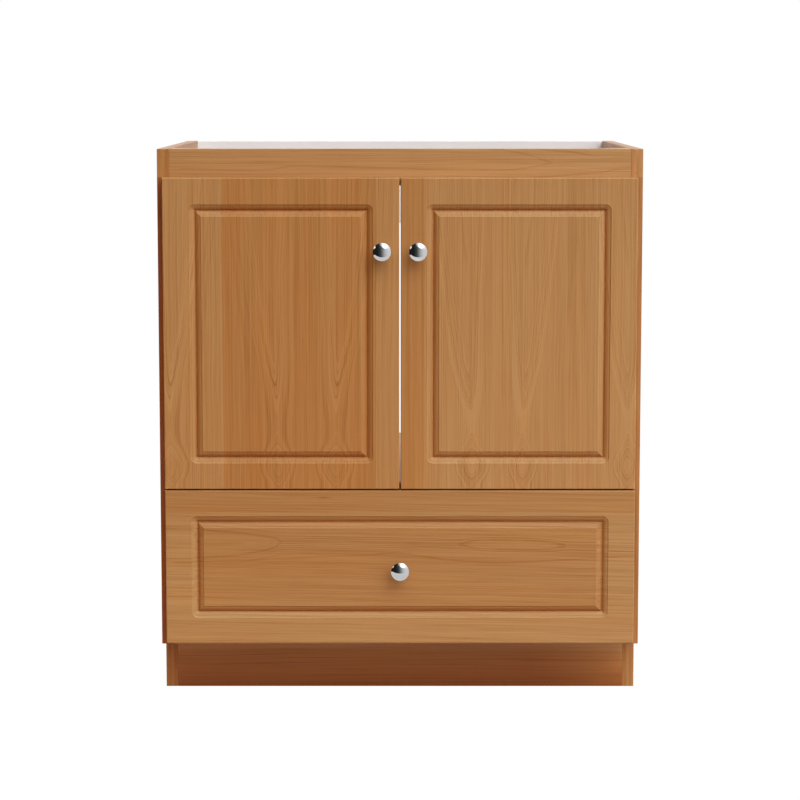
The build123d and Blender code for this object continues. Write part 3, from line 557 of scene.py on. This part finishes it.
def door_wood(name, side):
    """Upright grain in three heart columns, mirrored on the other door."""
    wood = Wood(name, along="z", across="x", depth="y", seed=DOOR_SEEDS[side])
    tips = wood.curve(wood.add(wood.z, DOOR_TIP_DROP[side]), DOOR_TIPS, *TIP_RANGE)
    eyes = wood.curve(wood.z, DOOR_EYES, *EYE_RANGE)
    waist = wood.curve(wood.z, DOOR_WAIST, *WAIST_RANGE)
    hearts = [(side * place, side * opens) for place, opens in DOOR_HEARTS[side]]
    figure = wood.figure(hearts, tips, eyes, waist, far_side=DOOR_FAR_SIDE)
    marked = wood.near(figure, DOOR_NEAR)
    marked = wood.times(marked, wood.between(wood.z, *TIPS_FADE, 1.0, TIPS_HIGH))
    waisted = wood.between(wood.z, *WAIST_START)
    waisted = wood.times(waisted, wood.between(wood.z, *WAIST_END, 1.0, 0.0))
    marked = wood.times(marked, wood.between(waisted, 0.0, 1.0, 1.0, WAIST_LINES))
    veins = wood.outline(figure, wood.between(wood.z, *TIP_OUTLINE_START, 0.0, TIP_OUTLINE))
    low = wood.between(wood.z, *EYE_OUTLINE_END, EYE_OUTLINE, 0.0)
    for ring in EYE_RINGS:
        line = wood.outline(wood.add(figure, ring), low, EYE_OUTLINE_WIDTH)
        veins = wood.add(veins, line)
    width = 2 * DOOR_OUTER_EDGE
    stops = [((edge + DOOR_OUTER_EDGE) / width, tint) for edge, tint in DOOR_BOARDS[side]]
    boards = wood.ramp_over(wood.x, -DOOR_OUTER_EDGE, DOOR_OUTER_EDGE, stops, "CONSTANT")
    return wood.finish(
        HONEY,
        figure,
        marked,
        spacing=DOOR_LINE_SPACING,
        # The boards carry painted light across the fronts; the groove gets painted shade.
        boards=wood.tinted(boards, painted_light_across_fronts(wood)),
        painted_light_and_shade=groove_painted_shade(wood),
        veins=veins,
    )


# ---- Wood: drawer front ----
# Half widths of the open grain at each place along the front.
DRAWER_TIP = [
    (-372, 34), (-310, 30), (-246, 23), (-209, 15), (-196, 10), (-189, 3), (-186, 0), (-150, 0),
    (372, 0),
]
DRAWER_EYE = [
    (-372, 0), (50, 0), (80, 0), (115, 6), (180, 8), (245, 6), (272, 0), (300, 0), (372, 0),
]
# A single long line across the front, as places along it and heights.
DRAWER_LINE = [
    (-372, 223), (-312, 224), (-169, 230), (-43, 235), (0, 237), (74, 227), (169, 223), (316, 230),
    (372, 232),
]
DRAWER_LINE_STRENGTH = 0.5
DRAWER_SEED = 9.0
DRAWER_TILT = 0.02
DRAWER_HEART = 255
DRAWER_FAR_SIDE = 0.5
DRAWER_WANDER = 4.0
DRAWER_NEAR = 30.0
DRAWER_OUTLINE = 0.7
DRAWER_OUTLINE_WIDTH = 4.5
DRAWER_LINE_SPACING = 10.0
DRAWER_RUN = 220
# Inside the open grain its lines are weak.
OPEN_GRAIN_EDGE = -3.0
OPEN_GRAIN_LINES = 0.15
# A small dark fleck: place along and height, how slender it is, its edge and its strength.
DRAWER_FLECK_X = -121
DRAWER_FLECK_Z = 327
DRAWER_FLECK_SLENDER = 0.08
DRAWER_FLECK_EDGE = (0.4, 1.7)
DRAWER_FLECK_STRENGTH = 1.5


def drawer_front_wood(name):
    """Level grain; the raised panel and the top strip come from a redder board."""
    wood = Wood(name, along="x", across="z", depth="y", seed=DRAWER_SEED)
    line = wood.drawn_line(DRAWER_LINE, DRAWER_LINE_STRENGTH)
    wood.across = wood.add(wood.across, wood.times(wood.x, DRAWER_TILT))
    tip = wood.curve(wood.x, DRAWER_TIP, *TIP_RANGE)
    eye = wood.curve(wood.x, DRAWER_EYE, *EYE_RANGE)
    hearts = [(DRAWER_HEART, -1)]
    figure = wood.figure(hearts, tip, eye, far_side=DRAWER_FAR_SIDE, wander=DRAWER_WANDER)
    marked = wood.near(figure, DRAWER_NEAR)
    inside = wood.between(figure, OPEN_GRAIN_EDGE, 0.0, OPEN_GRAIN_LINES, 1.0)
    marked = wood.times(marked, inside)
    veins = wood.add(line, wood.outline(figure, DRAWER_OUTLINE, DRAWER_OUTLINE_WIDTH))
    off_fleck = wood.add(
        wood.times(wood.absolute(wood.minus(wood.x, DRAWER_FLECK_X)), DRAWER_FLECK_SLENDER),
        wood.absolute(wood.minus(wood.z, DRAWER_FLECK_Z)),
    )
    veins = wood.add(veins, wood.between(off_fleck, *DRAWER_FLECK_EDGE, DRAWER_FLECK_STRENGTH, 0.0))
    beyond = wood.minus(wood.absolute(wood.x), DRAWER_PANEL_HALF_WIDTH)
    beyond = wood.math("MAXIMUM", beyond, wood.minus(DRAWER_PANEL_LOW, wood.z))
    beyond = wood.math("MAXIMUM", beyond, wood.minus(wood.z, DRAWER_PANEL_HIGH))
    outside = wood.math("GREATER_THAN", beyond, 0.0)
    below_strip = wood.math("LESS_THAN", wood.z, DRAWER_STRIP_LOW)
    boards = wood.mix(wood.times(outside, below_strip), DRAWER_RED, DRAWER_PALE)
    return wood.finish(
        HONEY,
        figure,
        marked,
        spacing=DRAWER_LINE_SPACING,
        run=DRAWER_RUN,
        # The boards carry painted light across the fronts; the groove gets painted shade.
        boards=wood.tinted(boards, painted_light_across_fronts(wood)),
        painted_light_and_shade=groove_painted_shade(wood),
        veins=veins,
    )


# ---- Wood: top rail, toe board, plain boards ----
# Lines of the top rail: the two legs of a tip that points right, and one above and one below it.
RAIL_LINES = [
    [(-362, 846), (-290, 844), (-207, 843), (-170, 849), (0, 846), (138, 843), (195, 846), (239, 854)],
    [(60, 879), (138, 876), (170, 873), (205, 866), (239, 855)],
    [(170, 878), (239, 874), (279, 870), (318, 863), (340, 863), (375, 864)],
    [(200, 832), (255, 835), (318, 840), (345, 845), (375, 847)],
]
RAIL_LINE_STRENGTH = 0.42
# Painted shade at the top rail's left end.
RAIL_PAINTED_LEFT_SHADE = (0.90, 0.85, 0.78)
RAIL_SEED = 13.0
RAIL_HEART = 790
RAIL_WANDER = 7.0
RAIL_LINE_SPACING = 9.0
RAIL_MARKED = 0.35
SHORT_RUN = 260

# Painted shade by height on the toe board: darker towards the floor, paler towards its top.
TOE_SHADE_BY_HEIGHT = [
    (0.0, (0.56, 0.43, 0.27)),
    (0.3, (0.78, 0.74, 0.70)),
    (0.64, (0.96, 1.09, 1.20)),
    (1.0, (1.5, 2.5, 4.2)),
]
# Painted light towards the toe board's right end, between these places along it.
TOE_LIT_END = (1.28, 1.55, 1.75)
TOE_LIT_FROM = 200
TOE_LIT_TO = 350
TOE_SEED = 15.0
TOE_HEART = -60
TOE_TAPER = 0.02
TOE_MARKED = 0.7
TOE_LINE_SPACING = 6.0

BOARD_TAPER = 0.04
BOARD_FAR_SIDE = 0.5


def top_rail_wood(name):
    """Level grain with one long tip that points to the right."""
    wood = Wood(name, along="x", across="z", depth="y", seed=RAIL_SEED)
    figure = wood.figure([(RAIL_HEART, 1)], 0.0, wander=RAIL_WANDER)
    veins = wood.add(*[wood.drawn_line(points, RAIL_LINE_STRENGTH) for points in RAIL_LINES])
    return wood.finish(
        TOP_RAIL,
        figure,
        RAIL_MARKED,
        spacing=RAIL_LINE_SPACING,
        run=SHORT_RUN,
        # Painted light across the rail, shaded at its left end.
        boards=painted_light_across_fronts(wood, RAIL_PAINTED_LEFT_SHADE),
        veins=veins,
    )


def toe_wood(name):
    """Level grain, with painted shade darker towards the floor and painted light paler towards the
    right end.
    """
    wood = Wood(name, along="x", across="z", depth="y", seed=TOE_SEED)
    tip = wood.math("MAXIMUM", wood.times(wood.along, TOE_TAPER), 0.0)
    figure = wood.figure([(TOE_HEART, 1)], tip, far_side=BOARD_FAR_SIDE)
    # Painted shade darker towards the floor, and painted light towards the right end.
    painted_toe_shade = wood.ramp_over(wood.z, 0.0, TOE_HEIGHT, TOE_SHADE_BY_HEIGHT)
    end = wood.mix(wood.between(wood.x, TOE_LIT_FROM, TOE_LIT_TO), EVEN, TOE_LIT_END)
    return wood.finish(
        TOE_SHADED,
        figure,
        TOE_MARKED,
        spacing=TOE_LINE_SPACING,
        run=SHORT_RUN,
        painted_light_and_shade=wood.tinted(painted_toe_shade, end),
    )


def board_wood(name, palette, axes, seed, heart=0.0):
    """A plain board; axes name the directions along the grain, across it and into the board."""
    along, across, depth = axes
    wood = Wood(name, along=along, across=across, depth=depth, seed=seed)
    tip = wood.math("MAXIMUM", wood.times(wood.along, BOARD_TAPER), 0.0)
    figure = wood.figure([(heart, 1)], tip, far_side=BOARD_FAR_SIDE)
    return wood.finish(palette, figure)


# ---- Wood: side panels ----
SIDE_HEARTS = [(-120, -1), (150, 1)]
SIDE_TIP_HEIGHTS = (180, 876)
SIDE_TIP_HALF_WIDTH = 60
SIDE_FAR_SIDE = 0.4
SIDE_MARKED = 0.5
SIDE_LINE_SPACING = 12.0
# Darker and redder near the joint with the rails, from the inner face outwards.
JOINT_TINTS = [(0.0, (0.90, 0.78, 0.66)), (0.28, (0.93, 0.84, 0.75)), (0.40, EVEN), (1.0, EVEN)]
# Painted shade and light on a panel's front edge beside the door, the top rail and the toe board:
# shade on the left panel, light on the right.
EDGE_LIGHT_AND_SHADE = {
    -1: {"door": (0.78, 0.45, 0.30), "rail": (0.97, 0.94, 0.86), "toe": (0.86, 0.72, 0.62)},
    1: {"door": EVEN, "rail": (1.22, 1.36, 1.60), "toe": (1.12, 1.28, 1.46)},
}


def side_wood(name, side, seed):
    """A side panel: finished outside and at its front, bare on its top edge and inside, with painted
    shade and light on its front edge.
    """
    wood = Wood(name, along="z", across="y", depth="x", seed=seed)
    tips = wood.between(wood.z, *SIDE_TIP_HEIGHTS, 0, SIDE_TIP_HALF_WIDTH, smooth=False)
    figure = wood.figure(SIDE_HEARTS, tips, far_side=SIDE_FAR_SIDE)
    outward = wood.times(wood.x, side)
    inner = wood.between(outward, INNER_FACE + SKIN_FADE, INNER_FACE + SKIN, 1.0, 0.0)
    top = wood.between(wood.z, TOP_EDGE - SKIN, TOP_EDGE - SKIN_FADE)
    bare = wood.math("MAXIMUM", inner, top)
    joint = wood.ramp_over(outward, INNER_FACE, FRONT_HALF_WIDTH, JOINT_TINTS)
    beside_toe = wood.math("LESS_THAN", wood.z, TOE_HEIGHT)
    front = wood.add(wood.times(beside_toe, TOE_RECESS), PANEL_FRONT + SKIN)
    tints = EDGE_LIGHT_AND_SHADE[side]
    # Painted shade on the left panel's edge beside the door and toe, painted light on the right one's.
    edge = wood.mix(wood.math("GREATER_THAN", outward, DOOR_OUTER_EDGE), EVEN, tints["door"])
    edge = wood.mix(wood.math("GREATER_THAN", wood.z, DOOR_TOP), edge, tints["rail"])
    edge = wood.mix(beside_toe, edge, tints["toe"])
    edge = wood.mix(wood.math("LESS_THAN", wood.y, front), EVEN, edge)
    return wood.finish(
        HONEY,
        figure,
        SIDE_MARKED,
        spacing=SIDE_LINE_SPACING,
        inside=(bare, BARE),
        painted_light_and_shade=wood.tinted(joint, edge),
    )


# ---- Metal, laminate and plastic ----
CHROME = (0.86, 0.87, 0.88)
NICKEL = (0.66, 0.64, 0.60)
ZINC = (0.60, 0.61, 0.62)
STEEL = (0.72, 0.72, 0.73)
# Cells of the drawn lines in a metal's gloss along x, y and z.
ROUND = (0.8, 0.8, 0.8)
UPRIGHT = (0.5, 0.5, 9.0)
ALONG_SLIDE = (0.7, 40.0, 0.7)
TURNED = (0.6, 0.6, 0.6)
METAL_CLOUDS = (23, 23, 23)
METAL_LIGHT = 1.06
METAL_DARK = 0.90
METAL_OFFSET = 7.3
METAL_RELIEF = 0.00002


def metal(name, base, roughness, spread, stretch, relief=0.15):
    """Plated metal: slow clouds in its tone, fine drawn lines in its gloss."""
    made = Material(name, Metallic=1.0)
    clouds = made.noise(made.cells(METAL_CLOUDS), detail=3)
    light = tuple(min(1.0, METAL_LIGHT * channel) for channel in base)
    dark = tuple(METAL_DARK * channel for channel in base)
    made.wear("Base Color", made.clouded(clouds, dark, light))
    lines = made.noise(made.cells(stretch, METAL_OFFSET), detail=3, roughness=0.7)
    made.wear("Roughness", made.spread(lines, roughness - spread, roughness + spread))
    made.wear("Normal", made.bump(lines, METAL_RELIEF, relief))
    return made.made


def laminate(name):
    """White laminate: an even tone with the faint ripple of its pressed skin."""
    made = Material(name)
    clouds = made.noise(made.cells((60, 60, 60)), detail=2)
    made.wear("Base Color", made.clouded(clouds, (0.83, 0.86, 0.875), (0.86, 0.89, 0.905)))
    ripple = made.noise(made.cells((1.4, 1.4, 1.4)), detail=2)
    made.wear("Roughness", made.spread(ripple, 0.38, 0.52))
    made.wear("Normal", made.bump(ripple, 0.00003, 0.2))
    return made.made


def soft_plastic(name):
    """Clear soft bumpers, a little cloudy."""
    made = Material(name, Transmission_Weight=0.6, IOR=1.45)
    cloud = made.noise(made.cells((2.5, 2.5, 2.5)), detail=2)
    made.wear("Base Color", made.clouded(cloud, (0.78, 0.79, 0.78), (0.88, 0.88, 0.86)))
    made.wear("Roughness", made.spread(cloud, 0.25, 0.4))
    return made.made


# ---- Put the materials on the pieces ----
def dress(material, *names):
    for name in names:
        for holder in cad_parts[name].material_slots:
            holder.material = material


dress(door_wood("door_wood_left", -1), "door_panel_left")
dress(door_wood("door_wood_right", 1), "door_panel_right")
dress(drawer_front_wood("drawer_front_wood"), "drawer_front")
dress(top_rail_wood("top_rail_wood"), "top_rail")
dress(board_wood("mid_rail_wood", HONEY, "xzy", seed=14.0, heart=330), "mid_rail")
dress(toe_wood("toe_wood"), "toe_board")
dress(side_wood("side_wood_left", -1, seed=21.0), "side_panel_left")
dress(side_wood("side_wood_right", 1, seed=23.0), "side_panel_right")
dress(board_wood("deck_wood", BARE, "xyz", seed=31.0, heart=20), "deck_panel")
dress(board_wood("floor_wood", BARE, "xyz", seed=33.0, heart=90), "bottom_panel")
dress(board_wood("back_rail_wood", BARE, "xzy", seed=35.0, heart=150), "lower_back_rail")
dress(board_wood("block_wood", BEECH, "xyz", seed=37.0, heart=-200), "corner_blocks")
dress(board_wood("dowel_wood", BEECH, "xyz", seed=39.0), "joint_dowels")
dress(
    board_wood("drawer_side_wood", MAPLE, "yzx", seed=41.0, heart=200),
    "drawer_side_left",
    "drawer_side_right",
)
dress(
    board_wood("drawer_end_wood", MAPLE, "xzy", seed=43.0, heart=230),
    "drawer_box_front",
    "drawer_box_back",
)
dress(board_wood("drawer_ply", MAPLE, "xyz", seed=45.0, heart=60), "drawer_bottom")
dress(laminate("white_board"), "hanging_rail")

sides = ("left", "right")
dress(
    metal("knob_chrome", CHROME, roughness=0.07, spread=0.02, stretch=ROUND, relief=0.04),
    "door_knob_left",
    "door_knob_right",
    "drawer_knob",
)
dress(
    metal("hinge_nickel", NICKEL, roughness=0.24, spread=0.06, stretch=UPRIGHT),
    *[
        "hinge_" + part + "_" + side + "_" + level
        for part in ("cup", "plate", "arm", "pin")
        for side in sides
        for level in ("upper", "lower")
    ],
)
dress(
    metal("slide_zinc", ZINC, roughness=0.34, spread=0.08, stretch=ALONG_SLIDE),
    *["slide_" + part + "_" + side for part in ("outer", "middle", "inner") for side in sides],
)
dress(
    metal("ball_steel", STEEL, roughness=0.18, spread=0.05, stretch=ROUND),
    "ball_cage_left",
    "ball_cage_right",
)
dress(
    metal("screw_zinc", ZINC, roughness=0.30, spread=0.08, stretch=TURNED),
    *["hinge_cup_screws_" + side for side in sides],
    *["door_knob_screw_" + side for side in sides],
    "hinge_plate_screws",
    "hinge_arm_screws",
    "drawer_knob_screw",
    "drawer_front_screws",
    "slide_outer_screws",
    "slide_inner_screws",
)
dress(soft_plastic("bumper_soft"), "door_bumpers_left", "door_bumpers_right", "drawer_bumpers")


# ---- Floor, light and world ----
FLOOR_SIDE = 1.6
FLOOR_FRONT = -0.90
FLOOR_REAR = 1.6
FLOOR_DROP = 0.0005
FLOOR_COLOUR = (0.42, 0.29, 0.21, 1)
# The share of the floor that is an even glow for the camera and for gloss, and both its levels.
FLOOR_CLEAR = 0.95
FLOOR_GLOW = 1.045
FLOOR_MIRRORED = 0.68

# A soft key from the upper right.
KEY_DIRECTION = Vector((0.38, -0.53, 0.76))
KEY_SOFTNESS_DEG = 36.0
KEY_STRENGTH = 0.80

# The studio that gloss reflects, from left to right: the span of a direction's x, and its greys.
ROOM_SPAN = (-0.6, 0.75)
ROOM_GREYS = [(0.0, 0.012), (0.3, 0.05), (0.5, 0.17), (0.7, 0.40), (1.0, 0.68)]
# The fill that lights matt surfaces, from left to right.
FILL_SPAN = (-0.7, 0.7)
FILL_COLOURS = [
    (0.0, (0.17, 0.125, 0.11)),
    (0.5, (0.48, 0.42, 0.39)),
    (1.0, (0.60, 0.56, 0.53)),
]
# It loses this share at the horizon, and less the higher it comes from.
FILL_LOW_SPAN = (0.0, 0.6)
FILL_LOW_LOSS = 0.65
# Behind the object both turn into one grey.
REAR_SPAN = (-0.05, 0.35)
REAR_GREY = 0.55
# Bright patches: direction, degrees of full brightness, degrees where it has faded, and grey.
SOFTBOX = ((0.45, -0.26, 0.85), 4, 48, 1.15)
WINDOW = ((-0.87, -0.14, 0.47), 4, 13, 1.2)
REAR_LIGHT = ((-0.55, 0.45, 0.70), 10, 50, 1.6)
FRONT_LIGHT = ((0.45, -0.50, 0.74), 14, 60, 2.45)


def make_floor():
    """A pale floor whose shadows show only faintly, as in a product picture."""
    mesh = bpy.data.meshes.new("floor")
    corners = [
        (-FLOOR_SIDE, FLOOR_FRONT),
        (FLOOR_SIDE, FLOOR_FRONT),
        (FLOOR_SIDE, FLOOR_REAR),
        (-FLOOR_SIDE, FLOOR_REAR),
    ]
    mesh.from_pydata([(x, y, -FLOOR_DROP) for x, y in corners], [], [(0, 1, 2, 3)])
    floor = bpy.data.objects.new("floor", mesh)
    bpy.context.scene.collection.objects.link(floor)
    paint = Material("floor_paint", Base_Color=FLOOR_COLOUR, Roughness=0.9)
    path = paint.nodes.new("ShaderNodeLightPath").outputs
    shown = paint.add(path["Is Camera Ray"], path["Is Glossy Ray"])
    glow = paint.nodes.new("ShaderNodeEmission")
    glow_level = paint.between(path["Is Glossy Ray"], 0.0, 1.0, FLOOR_GLOW, FLOOR_MIRRORED)
    paint.links.new(glow_level, glow.inputs["Strength"])
    mixed = paint.nodes.new("ShaderNodeMixShader")
    paint.links.new(paint.times(shown, FLOOR_CLEAR), mixed.inputs[0])
    paint.links.new(paint.shader.outputs[0], mixed.inputs[1])
    paint.links.new(glow.outputs[0], mixed.inputs[2])
    paint.links.new(mixed.outputs[0], paint.nodes["Material Output"].inputs["Surface"])
    mesh.materials.append(paint.made)


def make_key():
    data = bpy.data.lights.new("key", "SUN")
    data.energy = KEY_STRENGTH
    data.angle = math.radians(KEY_SOFTNESS_DEG)
    key = bpy.data.objects.new("key", data)
    key.rotation_euler = KEY_DIRECTION.to_track_quat("Z", "Y").to_euler()
    bpy.context.scene.collection.objects.link(key)


def grey(level):
    return (level, level, level)


def make_world():
    """White where the camera sees it; for the object, a studio that is dark to the left."""
    world = bpy.data.worlds.new("studio")
    bpy.context.scene.world = world
    tree = Tree(world)
    direction = tree.nodes.new("ShaderNodeTexCoord").outputs["Generated"]
    split = tree.nodes.new("ShaderNodeSeparateXYZ")
    tree.links.new(direction, split.inputs[0])
    x, y, z = split.outputs
    rear = tree.between(y, *REAR_SPAN)

    def lit(studio, towards, inner, outer, level):
        """The studio with a patch: full within inner degrees, fading out at outer degrees."""
        dot = tree.nodes.new("ShaderNodeVectorMath")
        dot.operation = "DOT_PRODUCT"
        tree.links.new(direction, dot.inputs[0])
        dot.inputs[1].default_value = Vector(towards).normalized()
        low, high = math.cos(math.radians(outer)), math.cos(math.radians(inner))
        return tree.mix(tree.between(dot.outputs["Value"], low, high), studio, grey(level))

    greys = [(position, grey(level)) for position, level in ROOM_GREYS]
    room = tree.ramp_over(x, *ROOM_SPAN, greys)
    room = tree.mix(rear, room, grey(REAR_GREY))
    room = lit(room, *SOFTBOX)
    room = lit(room, *WINDOW)

    fill = tree.ramp_over(x, *FILL_SPAN, FILL_COLOURS)
    fill = tree.mix(rear, fill, grey(REAR_GREY))
    fill = tree.mix(tree.between(z, *FILL_LOW_SPAN, FILL_LOW_LOSS, 0.0), fill, grey(0.0))
    fill = lit(fill, *REAR_LIGHT)
    fill = lit(fill, *FRONT_LIGHT)

    path = tree.nodes.new("ShaderNodeLightPath")
    colour = tree.mix(path.outputs["Is Diffuse Ray"], room, fill)
    colour = tree.mix(path.outputs["Is Camera Ray"], colour, grey(1.0))
    tree.links.new(colour, tree.nodes["Background"].inputs["Color"])


make_floor()
make_key()
make_world()
bpy.context.scene.view_settings.view_transform = "Standard"
